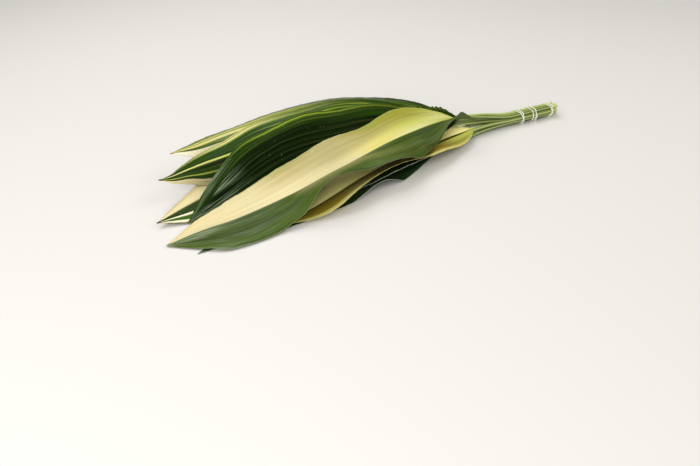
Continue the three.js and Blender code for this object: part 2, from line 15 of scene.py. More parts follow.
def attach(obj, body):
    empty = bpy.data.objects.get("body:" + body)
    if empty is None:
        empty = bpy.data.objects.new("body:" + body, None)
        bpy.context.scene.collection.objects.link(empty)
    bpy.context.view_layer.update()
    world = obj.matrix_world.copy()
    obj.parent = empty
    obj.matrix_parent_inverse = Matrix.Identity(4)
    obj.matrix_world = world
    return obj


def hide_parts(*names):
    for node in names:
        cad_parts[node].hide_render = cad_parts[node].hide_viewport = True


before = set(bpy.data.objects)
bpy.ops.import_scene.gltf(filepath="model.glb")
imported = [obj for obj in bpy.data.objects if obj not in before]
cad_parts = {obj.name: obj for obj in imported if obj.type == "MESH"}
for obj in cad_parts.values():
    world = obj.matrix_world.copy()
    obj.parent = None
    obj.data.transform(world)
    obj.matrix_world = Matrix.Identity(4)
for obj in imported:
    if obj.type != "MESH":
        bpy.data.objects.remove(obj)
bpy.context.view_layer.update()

MM = 0.001

# ---- Sizes of the leaves, as in the solids ----

STALK_HALF_WIDTH = 3.0
STALK_THICKNESS = 4.6
STALK_EDGE_THICKNESS = 1.15
STALK_GROOVE_SLOPE = 35
RIB_THICKNESS = 1.3
BLADE_THICKNESS = 0.8
TIP_HALF_WIDTH = 0.6
RIB_FADE = 0.25
RIB_FADE_POWER = 1.5
LEAST_BLADE_HALF_WIDTH = 1
THIN_RATIO = 3
RUFFLE_RISE = 1.2

BUNDLE_END = np.array([355.0, 10.0, 0.0])
BUNDLE_RUN, BUNDLE_DRIFT = 0.99, 0.139
BUNDLE_AXIS = np.array([-BUNDLE_RUN, BUNDLE_DRIFT, 0.0]) / math.hypot(BUNDLE_RUN, BUNDLE_DRIFT)
BUNDLE_SIDE = np.array([BUNDLE_DRIFT, BUNDLE_RUN, 0.0]) / math.hypot(BUNDLE_RUN, BUNDLE_DRIFT)
BUNDLE_KNOTS = [70, 95]
BUNDLE_START_X = 245
ROW_COUNTS = [3, 4, 3]
STALK_PITCH = 6.6
ROW_PITCH = 5.6
LOWEST_STALK_Z = 4.9

GAP = 1.0
PILE_CELL = 1.0
PILE_REACH = 1
PILE_LOW = np.array([-380.0, -110.0])
PILE_HIGH = np.array([380.0, 300.0])
RAISE_ROUNDS = 6
STIFFNESS_STEPS = 160
STIFFNESS_DECAY = 0.93
LEAST_LIFT = 0.05
NARROW_SPACING = 3
SETTLE_ROUNDS = 3
FLOOR_SNAP = 0.3

STALK_STEPS = 9
BLADE_STEPS = 24
HALF_STEPS = 3
NO_PINCH = (0, 1, 0, 0)
USUAL_FOOT = (0.35, 0.35)
USUAL_FOOT_POWER = (1, 1)
ACROSS = 2 * HALF_STEPS
CELL_SAMPLES = 12
ARC_STEPS = 8

TIE_RADIUS = 0.8
TIE_GAP = 0.7
TIE_STEPS_PER_TURN = 24
TIE_CROSSING = 0.75
OUTLINE_STEPS = 360

# ---- The fine pieces ----

FINE_ALONG = 6                 # fine rows for each row of the solid's net
FRILLED_ALONG = 14             # the same on a leaf with a frilled edge
FINE_ACROSS = 12               # fine columns for each column of it
FINE_BLADE_THICKNESS = 0.5
FINE_EDGE_THICKNESS = 0.3
FINE_RIB_WIDTH = 0.05          # share of a half blade
PLEATS = [(0.08, 8.3, 0.4), (0.05, 13.7, 1.9)]             # height, count over a leaf, phase
PLEATED_SPACING = 12           # a narrower blade has shallower pleats
EDGE_WAVES = [(0.22, 23.0, 0.0), (0.16, 9.7, 1.3)]         # height, length, phase
FRILL_INNER = 0.45             # share of a half blade where a frill begins
FINE_TIE_SIDES = 14
FINE_TIE_STEPS = 4

# Leaves from the bottom of the pile to its top. slot: row and place in the bundle. end: how far
# the cut end stands back. near and far: half widths. tip, foot and foot_power: how each half
# narrows to the tip and to the stalk, with the usual foot where none is given. stalk: points
# between the bundle and the blade. rib: x, y, z, then the slopes in degrees of the near half at
# the rib and at its edge, and of the far half.
# ruffles: height, length and phase of an edge's waves, near edge (1) or far edge (-1).
# foot_start: share of the blade, near and far, that stays as narrow as the stalk. pinch: place,
# reach and depth, as shares, of a narrow place in a half, and its side. A frill is a crinkled
# stretch of an edge: its side, where it starts and ends, its height and the length of a wave.
# A curl is a stretch that turns down: side, start, end, depth and the share where it begins.

LEAVES = [
    dict(
        name="leaf_01", slot=(0, 0), end=1, near=42, far=44, tip=(0.4, 0.4), foot=(0.36, 0.36),
        foot_power=(2.6, 2), stalk=[(210, 18, 6)],
        rib=[
            (160, 16, 6, -10, -10, 10, 10), (100, 13, 3, -6, -4, 5, 5), (50, 10, 1, -4, -4, 4, 4),
            (5, 5, 0, -3, -3, 2, 2), (-40, -4, 0, 9, 33, 2, 2), (-100, -8, 0, 0, 0, 0, 0),
            (-150, -12, 0, 0, 0, 0, 0), (-250, -28, 0, 0, 0, 0, 0), (-324, -41, 0, 0, 0, 0, 0),
        ],
    ),
    dict(
        name="leaf_02", slot=(0, 1), end=-3, near=42, far=44, tip=(0.4, 0.4), foot=(0.38, 0.38),
        foot_power=(1.6, 1.6), stalk=[(210, 25, 7)],
        rib=[
            (165, 24, 8, -10, -10, 10, 10), (100, 16, 7, 10, 14, 5, 5), (50, 12, 6, 16, 20, 3, 3),
            (0, 10, 5, 14, 18, 2, 2), (-50, 12, 5, 4, 4, 2, 2), (-130, 14, 4, 0, 0, 0, 0),
            (-205, 12, 3, 0, 0, 0, 0),
        ],
    ),
    dict(
        name="leaf_03", slot=(0, 2), end=-1, near=49, far=46, tip=(0.19, 0.42), stalk=[(210, 34, 10)],
        ruffles=[(2.5, 80, 0, 1), (2.5, 80, 1, -1)],
        rib=[
            (150, 38, 9, -20, -20, 20, 20), (50, 62, 6, -8, -8, -1, -8), (-50, 82, 2.2, -5, -5, -3, -10),
            (-150, 90, 6, -5, -6, -1, -5), (-230, 82, 11, -8, -12, 7, 9),
            (-290, 66, 11, -14, -22, 15, 17), (-343, 54, 7, -12, -24, 5, 5),
        ],
    ),
    dict(
        name="leaf_04", slot=(1, 0), end=3, near=44, far=46, tip=(0.3, 0.3), foot=(0.33, 0.3),
        foot_power=(0.8, 0.8), stalk=[(225, 17.5, 12)],
        rib=[
            (185, 20, 13, -10, -10, 30, 30), (150, 16, 12, -6, -6, 25, 20), (100, 14, 8, 12, 14, 15, 14),
            (50, 7, 6, 18, 22, 12, 12), (0, 0, 6, 28, 33, 10, 10), (-50, -11, 5, 31, 36, 8, 8),
            (-100, -25, 4, 27, 32, 8, 8), (-150, -35, 2, 10, 12, 6, 6), (-212, -40, 1.5, 0, 0, 0, 0),
        ],
    ),
    dict(
        name="leaf_05", slot=(1, 2), end=-2, near=42, far=44, tip=(0.42, 0.42), stalk=[(210, 35.5, 17)],
        ruffles=[(2.5, 85, 0, -1)],
        rib=[
            (150, 44, 24, -20, -20, 15, 15), (50, 84, 40, -16, -16, 4, -5),
            (-50, 108, 46, -16, -18, -4, -12), (-150, 120, 42, -14, -16, -6, -14),
            (-220, 122, 30, -8, -12, -6, -8), (-258, 114, 19, 0, 0, 0, 0),
        ],
    ),
    dict(
        name="leaf_06", slot=(1, 1), end=0, near=36, far=44, tip=(0.42, 0.42),
        stalk=[(210, 27.5, 15.5)],
        rib=[
            (150, 32, 24, -20, -20, 20, 20), (50, 50, 32, -22, -24, 8, 0), (-50, 66, 34, -24, -26, 4, -4),
            (-130, 68, 26, -18, -20, 2, -2), (-205, 60, 12, 0, 0, 0, 0),
        ],
    ),
    dict(
        name="leaf_07", slot=(1, 3), end=2, near=42, far=44, tip=(0.24, 0.42), stalk=[(210, 45, 17)],
        rib=[
            (155, 51, 31, -40, -50, 35, 30), (100, 84, 51, -35, -45, 10, 0),
            (50, 110, 65, -30, -36, -6, -14), (0, 132, 74, -28, -32, -12, -20),
            (-50, 142, 75, -28, -32, -14, -22), (-100, 149, 72, -28, -32, -16, -22),
            (-150, 154, 66, -26, -30, -16, -22), (-200, 166, 55, -20, -24, -12, -16),
            (-240, 172, 47, -28, -40, -5, -5), (-270, 179, 42, -10, -20, 0, 0),
        ],
    ),
    dict(
        name="leaf_08", slot=(2, 2), end=1, near=48, far=45, tip=(0.19, 0.42), stalk=[(210, 39, 24)],
        rib=[
            (150, 42, 32, -40, -50, 40, 40), (100, 54, 44, -35, -45, 12, 8), (50, 70, 55, -32, -45, 9, 7),
            (0, 84, 62, -30, -42, 9, 7), (-50, 92, 65, -28, -40, 11, 9), (-100, 98, 64, -28, -40, 12, 10),
            (-150, 102, 60, -28, -45, 12, 12), (-200, 106, 48, -28, -70, 13, 13),
            (-250, 111, 41, -44, -95, 20, 20), (-314, 111, 34, -32, -65, 8, 8),
        ],
    ),
    dict(
        name="leaf_09", slot=(2, 1), end=-2, near=48, far=50, tip=(0.34, 0.34), foot=(0.3, 0.4),
        pinch=(0.06, 0.04, -0.5, -1), stalk=[(210, 31, 24)], ruffles=[(2.5, 110, 0, -1)],
        frill=(-1, 0.0, 0.16, 5.0, 8.0),
        rib=[
            (168, 31, 33, -50, -60, 55, 50), (140, 32, 38, -48, -52, 46, 42),
            (100, 38, 44, -42, -46, 38, 34), (50, 47, 47, -40, -44, 33, 30),
            (0, 54, 50, -40, -46, 34, 31), (-50, 60, 50, -40, -46, 35, 33),
            (-100, 64, 49, -40, -46, 36, 34), (-150, 66, 38, -40, -42, 32, 29),
            (-200, 62, 24, -32, -28, 30, 28), (-250, 51, 13, -30, -18, 42, 40), (-307, 35, 2, 0, 0, 0, 0),
        ],
    ),
    dict(
        name="leaf_10", slot=(2, 0), end=0, near=60, far=50, tip=(0.15, 0.26), foot=(0.4, 0.22),
        foot_power=(1.2, 1), foot_start=(0, 0.085), pinch=(0.125, 0.035, 0.5, 1), stalk=[(215, 21, 26)],
        ruffles=[(3, 95, 0.5, 1), (2.5, 120, 1, -1)], curl=(1, 0.36, 0.58, 5.0, 0.72),
        rib=[
            (188, 20.2, 32, 60, 70, 60, 60), (165, 18.7, 37.5, 75, 80, 60, 60),
            (150, 17.3, 42, 68, 72, 60, 57), (136, 16.5, 44.5, 40, 38, 56, 50),
            (122, 16, 46, 0, -6, 54, 49), (106, 16, 46, -40, -46, 52, 48), (50, 14, 42, -26, -38, 36, 34),
            (0, 12, 37, -3, -9, 26, 25), (-50, 11, 29, 34, 0, 28, 31), (-100, 5, 24.5, 38, 12, 31, 35),
            (-150, 1, 16.5, 24, 22, 21, 27), (-175, 0, 13, 5, 5, 12, 14), (-200, -1, 10, -4, -6, 6, 7),
            (-250, -4, 7, -8, -9, 5, 6), (-300, 1, 4, -5, -5, 0, 0), (-351, 0, 1, 0, 0, 0, 0),
        ],
    ),
]

TIES = [
    dict(name="tie_01", at=72, turns=2, spread=3.4, slant=2, start=90),
    dict(name="tie_02", at=48, turns=3, spread=3.6, slant=1, start=-90),
    dict(name="tie_03", at=15, turns=2, spread=3.4, slant=-4, start=90),
]

# ---- Smooth lines ----


def interpolate(knots, rows, at):
    """Cubic interpolation of rows of numbers given at rising knots."""
    knots = np.asarray(knots, float)
    rows = np.asarray(rows, float)
    steps = np.diff(knots)
    slopes = np.diff(rows, axis=0) / steps[:, None]
    tangents = np.empty_like(rows)
    tangents[0] = slopes[0]
    tangents[-1] = slopes[-1]
    before = steps[:-1, None]
    after = steps[1:, None]
    tangents[1:-1] = (slopes[:-1] * after + slopes[1:] * before) / (before + after)
    k = np.clip(np.searchsorted(knots, at, side="right") - 1, 0, len(steps) - 1)
    step = steps[k][:, None]
    t = (at[:, None] - knots[k][:, None]) / step
    return (
        (1 + 2 * t) * (1 - t) ** 2 * rows[k]
        + t * (1 - t) ** 2 * step * tangents[k]
        + t * t * (3 - 2 * t) * rows[k + 1]
        + t * t * (t - 1) * step * tangents[k + 1]
    )


def ease(value):
    return np.sin(math.pi / 2 * np.clip(value, 0, 1))


def unit(vectors):
    return vectors / np.linalg.norm(vectors, axis=-1, keepdims=True)


# ---- One leaf ----


def bundle_point(leaf, distance):
    """Where a leaf's stalk is, at a distance along the bundle."""
    row, place = leaf["slot"]
    side = (place - (ROW_COUNTS[row] - 1) / 2) * STALK_PITCH
    point = BUNDLE_END + BUNDLE_AXIS * distance + BUNDLE_SIDE * side
    point[2] = LOWEST_STALK_Z + row * ROW_PITCH
    return point


def spine(leaf):
    """Knots, points and slopes of a leaf's line, and where its blade starts and ends."""
    points = [bundle_point(leaf, leaf["end"])]
    points += [bundle_point(leaf, distance) for distance in BUNDLE_KNOTS]
    points += [np.array(p, float) for p in leaf["stalk"]]
    stalk_points = len(points)
    slopes = [[STALK_GROOVE_SLOPE] * 4] * stalk_points
    for x, y, z, *four in leaf["rib"]:
        points.append(np.array([x, y, z], float))
        slopes.append(four)
    points = np.array(points)
    lengths = np.linalg.norm(np.diff(points, axis=0), axis=1)
    knots = np.concatenate([[0], np.cumsum(lengths)])
    return knots, points, np.array(slopes, float), knots[stalk_points], knots[-1]


def stations_of(blade_start, tip_end, finer=1):
    stalk = np.linspace(0, blade_start, STALK_STEPS * finer, endpoint=False)
    blade = np.linspace(blade_start, tip_end, BLADE_STEPS * finer + 1)
    return np.concatenate([stalk, blade])


def arc_offset(share, width, slope_in, slope_out):
    """Sideways and upward offsets of places across a half blade that bends evenly."""
    middles = (np.arange(ARC_STEPS) + 0.5) / ARC_STEPS
    bend = (slope_out - slope_in)[:, None, None] * share[None, :, None] * middles
    slope = slope_in[:, None, None] + bend
    scale = share[None, :] * width[:, None]
    return np.cos(slope).mean(2) * scale, np.sin(slope).mean(2) * scale


def edge_ruffle(leaf, sign, distance, profile):
    """Heights of an edge's waves, less where the blade is narrow."""
    height = np.zeros_like(distance)
    for size, length, phase, side in leaf.get("ruffles", []):
        if side == sign:
            height += size * np.sin(2 * math.pi * distance / length + phase)
    return height * np.minimum(1, RUFFLE_RISE * profile)


def leaf_net(leaf, finer=1, half_steps=HALF_STEPS):
    """The middle surface of a leaf, row by row from its cut end to its tip. A row runs from the
    far edge over the midrib to the near edge."""
    knots, points, slopes, blade_start, tip_end = spine(leaf)
    s = stations_of(blade_start, tip_end, finer)
    blade = np.arange(len(s)) >= STALK_STEPS * finer
    centre = interpolate(knots, points, s)
    ahead = interpolate(knots, points, np.minimum(s + 1, tip_end))
    behind = interpolate(knots, points, np.maximum(s - 1, 0))
    along = unit(ahead - behind)
    near_side = unit(np.cross([0, 0, 1], along))
    normal = np.cross(along, near_side)
    near_in, near_out, far_in, far_out = np.radians(interpolate(knots, slopes, s)).T
    from_tip = np.clip((tip_end - s) / (tip_end - blade_start), 0, 1)
    foot = np.clip((from_tip - 1) / RIB_FADE + 1, 0, 1) ** RIB_FADE_POWER
    stalk_share = np.where(blade, foot, 1)
    share = np.arange(half_steps + 1) / half_steps
    rows = np.zeros((len(s), 2 * half_steps + 1, 3))
    thickness = np.zeros(rows.shape[:2])
    spacing = np.zeros(rows.shape[:2])
    halves = ((1, leaf["near"], near_in, near_out, 0), (-1, leaf["far"], far_in, far_out, 1))
    for sign, full, slope_in, slope_out, half in halves:
        profile = ease(from_tip / leaf["tip"][half])
        from_foot = 1 - from_tip - leaf.get("foot_start", (0, 0))[half]
        foot_share = leaf.get("foot", USUAL_FOOT)[half]
        foot_power = leaf.get("foot_power", USUAL_FOOT_POWER)[half]
        profile = profile * ease(from_foot / foot_share) ** foot_power
        at, reach, depth, side = leaf.get("pinch", NO_PINCH)
        if side == sign:
            profile = profile * (1 - depth * np.exp(-(((1 - from_tip - at) / reach) ** 2)))
        width = np.maximum(full * profile, STALK_HALF_WIDTH * from_tip**3)
        width = np.maximum(width, LEAST_BLADE_HALF_WIDTH)
        width = np.where(blade, width, STALK_HALF_WIDTH)
        width[-1] = TIP_HALF_WIDTH
        ruffle = np.where(blade, edge_ruffle(leaf, sign, s - blade_start, profile), 0)
        sideways, rise = arc_offset(share, width, slope_in, slope_out)
        rise = rise + ruffle[:, None] * share**2
        columns = half_steps + sign * np.arange(half_steps + 1)
        rows[:, columns] = (
            centre[:, None]
            + near_side[:, None] * (sign * sideways)[..., None]
            + normal[:, None] * rise[..., None]
        )
        stalk_thick = STALK_THICKNESS - (STALK_THICKNESS - STALK_EDGE_THICKNESS) * share**2
        blade_thick = BLADE_THICKNESS + (RIB_THICKNESS - BLADE_THICKNESS) * (1 - share) ** 2
        mixed = blade_thick + (stalk_thick - blade_thick) * stalk_share[:, None]
        thickness[:, columns] = mixed
        spacing[:, columns] = (width / HALF_STEPS)[:, None]
    return dict(
        leaf=leaf, s=s, rows=rows, normals=normal, thickness=thickness, spacing=spacing,
        stalk_share=stalk_share, from_tip=from_tip, blade_start=blade_start, tip_end=tip_end,
    )


def faces(net):
    """Points of the upper and lower face, half a thickness to either side of the middle."""
    rows = net["rows"]
    middle = np.minimum(np.arange(len(rows)), len(rows) - 2)
    columns = np.arange(rows.shape[1])
    along = rows[middle + 1] - rows[np.maximum(middle - 1, 0)]
    right = np.minimum(columns + 1, columns[-1])
    left = np.maximum(columns - 1, 0)
    across = rows[middle][:, right] - rows[middle][:, left]
    upright = unit(np.cross(along, across))
    thin = np.clip(net["spacing"] / (THIN_RATIO * net["thickness"]), 0, 1)[..., None]
    normals = net["normals"][:, None]
    direction = unit(normals + (upright - normals) * thin)
    half = direction * net["thickness"][..., None] / 2
    return rows + half, rows - half


# ---- Laying the leaves down ----

PILE_SHAPE = tuple(np.round((PILE_HIGH - PILE_LOW) / PILE_CELL).astype(int))
SAMPLE = (np.arange(CELL_SAMPLES) + 0.5) / CELL_SAMPLES


def sample_face(face):
    """Evenly spread samples of every cell of a face: rows, columns, then samples each way."""
    u = SAMPLE[:, None, None]
    v = SAMPLE[None, :, None]
    a = face[:-1, :-1, None, None]
    b = face[1:, :-1, None, None]
    c = face[:-1, 1:, None, None]
    d = face[1:, 1:, None, None]
    return (a * (1 - u) + b * u) * (1 - v) + (c * (1 - u) + d * u) * v


def pile_index(points):
    return tuple(np.floor((points - PILE_LOW) / PILE_CELL).astype(int).T)


def settle(net):
    """Lifts what lies below the surface that the leaves rest on."""
    for _ in range(SETTLE_ROUNDS):
        upper, lower = faces(net)
        low = np.minimum(upper[..., 2], lower[..., 2])
        net["rows"][..., 2] += np.maximum(0, -low)


def raise_clear(net, pile):
    """Raises a leaf clear of the pile, as a springy blade would lie on it."""
    rows = net["rows"]
    bundled = rows[:, HALF_STEPS, 0] > BUNDLE_START_X
    narrow = np.maximum(net["spacing"][:, 0], net["spacing"][:, -1]) < NARROW_SPACING
    for _ in range(RAISE_ROUNDS):
        need = np.zeros(rows.shape[:2])
        most = 0
        for face in faces(net):
            points = sample_face(face)
            height = pile[pile_index(points[..., :2].reshape(-1, 2))].reshape(points.shape[:-1])
            missing = np.where(height < FLOOR_SNAP, 0, height + GAP - points[..., 2])
            missing = np.maximum(missing, 0)
            missing[bundled[:-1]] = 0
            cell = missing.max(axis=(2, 3))
            most = max(most, cell.max())
            for di, dj in ((0, 0), (1, 0), (0, 1), (1, 1)):
                part = need[di : di + len(cell), dj : dj + ACROSS]
                np.maximum(part, cell, out=part)
        if most < LEAST_LIFT:
            break
        need[narrow] = need[narrow].max(axis=1, keepdims=True)
        lift = need.copy()
        for _ in range(STIFFNESS_STEPS):
            wide = np.pad(lift, 1, mode="edge")
            spread = wide[:-2, 1:-1] + wide[2:, 1:-1] + wide[1:-1, :-2] + wide[1:-1, 2:]
            held = spread / 4 * STIFFNESS_DECAY
            held[bundled] = 0
            lift = np.maximum(need, held)
        lift[narrow] = lift[narrow].max(axis=1, keepdims=True)
        rows[..., 2] += lift


def add_to_pile(net, pile):
    """Raises the grid of heights to a leaf, and to a cell beyond its edges."""
    for face in faces(net):
        points = sample_face(face).reshape(-1, 3)
        for dx in range(-PILE_REACH, PILE_REACH + 1):
            for dy in range(-PILE_REACH, PILE_REACH + 1):
                shifted = points[:, :2] + np.array([dx, dy]) * PILE_CELL
                np.maximum.at(pile, pile_index(shifted), points[:, 2])


def lay_leaves():
    """The nets of all leaves, each laid on those before it, with how far it was lifted."""
    pile = np.zeros(PILE_SHAPE)
    nets = []
    for leaf in LEAVES:
        net = leaf_net(leaf)
        loose = net["rows"][..., 2].copy()
        settle(net)
        raise_clear(net, pile)
        settle(net)
        add_to_pile(net, pile)
        net["lift"] = net["rows"][..., 2] - loose
        nets.append(net)
    return nets


nets = lay_leaves()
all_points = np.concatenate([face.reshape(-1, 3) for net in nets for face in faces(net)])
ORIGIN = (all_points.min(0) + all_points.max(0)) / 2
ORIGIN[2] = 0


def to_metres(points):
    return (np.asarray(points) - ORIGIN) * MM


# ---- Fine leaves ----


def fine_relief(net, leaf):
    """Heights of the pleats between the veins, of the waves of the edges and of a frill."""
    share = np.linspace(-1, 1, net["rows"].shape[1])
    reach = np.abs(share)
    s = net["s"] - net["blade_start"]
    blade = (1 - net["stalk_share"])[:, None]
    relief = sum(size * np.sin(math.pi * count * share + phase) for size, count, phase in PLEATS)
    relief = relief * np.minimum(1, net["spacing"].max(axis=1) / PLEATED_SPACING)[:, None]
    for size, length, phase in EDGE_WAVES:
        wave = np.sin(2 * math.pi * s / length + phase + leaf["near"])
        relief = relief + size * wave[:, None] * reach**3 * np.sign(share)
    if "frill" in leaf:
        side, start, end, size, length = leaf["frill"]
        at = np.clip((1 - net["from_tip"] - start) / (end - start), 0, 1)
        window = np.sqrt(np.sin(math.pi * at))
        wave = 0.5 + 0.5 * np.sin(2 * math.pi * s / length + np.sin(s / length))
        outer = np.clip(side * share - FRILL_INNER, 0, 1) / (1 - FRILL_INNER)
        relief = relief + size * (window * wave)[:, None] * outer
    if "curl" in leaf:
        side, start, end, size, inner = leaf["curl"]
        at = np.clip((1 - net["from_tip"] - start) / (end - start), 0, 1)
        outer = np.clip(side * share - inner, 0, 1) / (1 - inner)
        relief = relief - size * (np.sin(math.pi * at) ** 2)[:, None] * outer**2
    return relief * blade


def fine_net(coarse):
    """The same leaf with more rows and columns, raised by the smoothed lift of the solid."""
    leaf = coarse["leaf"]
    finer = FRILLED_ALONG if "frill" in leaf else FINE_ALONG
    net = leaf_net(leaf, finer, HALF_STEPS * FINE_ACROSS)
    rows_at = np.arange(len(net["s"])) / finer
    columns_at = np.arange(net["rows"].shape[1]) / FINE_ACROSS
    lift = interpolate(np.arange(len(coarse["lift"])), coarse["lift"], rows_at)
    lift = interpolate(np.arange(ACROSS + 1), lift.T, columns_at).T
    net["rows"][..., 2] += lift + fine_relief(net, leaf)
    share = np.abs(np.linspace(-1, 1, net["rows"].shape[1]))
    blade = FINE_EDGE_THICKNESS + (FINE_BLADE_THICKNESS - FINE_EDGE_THICKNESS) * (1 - share**4)
    rib = np.exp(-((share / FINE_RIB_WIDTH) ** 2)) * (RIB_THICKNESS - FINE_BLADE_THICKNESS)
    blade = blade + rib
    full = net["thickness"]
    net["thickness"] = np.minimum(blade + (full - blade) * net["stalk_share"][:, None], full)
    settle(net)
    return net


def grid_faces(rows, columns, start, flip):
    """Quads of a grid of points."""
    i, j = np.meshgrid(np.arange(rows - 1), np.arange(columns - 1), indexing="ij")
    a = start + i * columns + j
    quads = np.stack([a, a + columns, a + columns + 1, a + 1], axis=-1).reshape(-1, 4)
    return quads[:, ::-1] if flip else quads


def rim_faces(rows, columns):
    """Quads that join the upper face to the lower one round the edge."""
    far = np.arange(rows) * columns
    near = far + columns - 1
    foot = np.arange(columns)
    tip = (rows - 1) * columns + foot
    below = rows * columns
    quads = []
    for line, flip in ((far, False), (near, True), (foot, True), (tip, False)):
        a, b = line[:-1], line[1:]
        quad = np.stack([a, a + below, b + below, b], axis=-1)
        quads.append(quad[:, ::-1] if flip else quad)
    return np.concatenate(quads)


def leaf_mesh(net):
    """The closed mesh of a leaf, its map and its slots: upper, under and cut end."""
    upper, lower = faces(net)
    rows, columns = upper.shape[:2]
    points = to_metres(np.concatenate([upper.reshape(-1, 3), lower.reshape(-1, 3)]))
    top = grid_faces(rows, columns, 0, False)
    bottom = grid_faces(rows, columns, rows * columns, True)
    rim = rim_faces(rows, columns)
    quads = np.concatenate([top, bottom, rim])
    mesh = bpy.data.meshes.new(net["leaf"]["name"] + "_blade")
    mesh.from_pydata(points.tolist(), [], quads.tolist())
    mesh.update()
    across = np.linspace(0, 1, columns)
    blade_length = net["tip_end"] - net["blade_start"]
    along = (net["s"] - net["blade_start"]) / blade_length
    u = np.tile(np.tile(across, rows), 2)
    v = np.tile(np.repeat(along, columns), 2)
    layer = mesh.uv_layers.new(name="leaf")
    corner = np.empty(len(mesh.loops), np.int32)
    mesh.loops.foreach_get("vertex_index", corner)
    layer.data.foreach_set("uv", np.stack([u[corner], v[corner]], axis=-1).astype(np.float32).ravel())
    slots = np.zeros(len(mesh.polygons), np.int32)
    slots[len(top) : len(top) + len(bottom)] = 1
    foot = len(top) + len(bottom) + 2 * (rows - 1)
    slots[foot : foot + columns - 1] = 2
    mesh.polygons.foreach_set("material_index", slots)
    mesh.polygons.foreach_set("use_smooth", np.ones(len(mesh.polygons), bool))
    mesh.update()
    return mesh


# ---- Materials ----


def linear(r, g, b):
    """A colour from 0 to 255 in linear light."""
    values = []
    for c in (r, g, b):
        c = c / 255
        values.append(c / 12.92 if c <= 0.04045 else ((c + 0.055) / 1.055) ** 2.4)
    return (*values, 1.0)


CREAM = linear(231, 216, 164)
# Cream painted brighter as painted light, where leaf_04 lies in the shade of leaf_10's edge.
CREAM_WITH_PAINTED_LIGHT = linear(255, 242, 156)
PALE_CREAM = linear(247, 238, 200)
PEACH = linear(236, 214, 160)
BEIGE = linear(198, 184, 126)
KHAKI = linear(170, 161, 88)
OLIVE_LIME = linear(160, 158, 58)
PALE_LIME = linear(228, 224, 152)
LIME = linear(198, 202, 92)
BUTTER = linear(226, 214, 122)
YELLOW_GREEN = linear(138, 156, 44)
OLIVE = linear(150, 126, 38)
# Painted shade: the dark crease along leaf_04's midrib.
PAINTED_CREASE_SHADE = linear(84, 72, 24)
LEAF_GREEN = linear(68, 90, 26)
MOSS_GREEN = linear(96, 112, 34)
GREY_GREEN = linear(70, 88, 36)
MID_GREEN = linear(52, 88, 14)
FOREST_GREEN = linear(38, 70, 8)
DEEP_GREEN = linear(26, 52, 7)
BLACK_GREEN = linear(15, 30, 7)
BLUE_GREEN = linear(30, 56, 26)
STALK = linear(116, 142, 62)
STALK_DARK = linear(60, 92, 44)
STALK_LIGHT = linear(208, 218, 134)
CUT = linear(222, 228, 150)
RIM = linear(150, 168, 118)
RIM_GREY = linear(206, 216, 204)
# Grey of the waxy bloom and of the painted sheen, also used for two leaves' dry tips.
BLOOM_AND_SHEEN = linear(132, 146, 112)
BROWN = linear(112, 84, 56)
CORD_SHADE = linear(236, 234, 214)
CORD = linear(252, 251, 240)
FLOOR = linear(236, 232, 226)
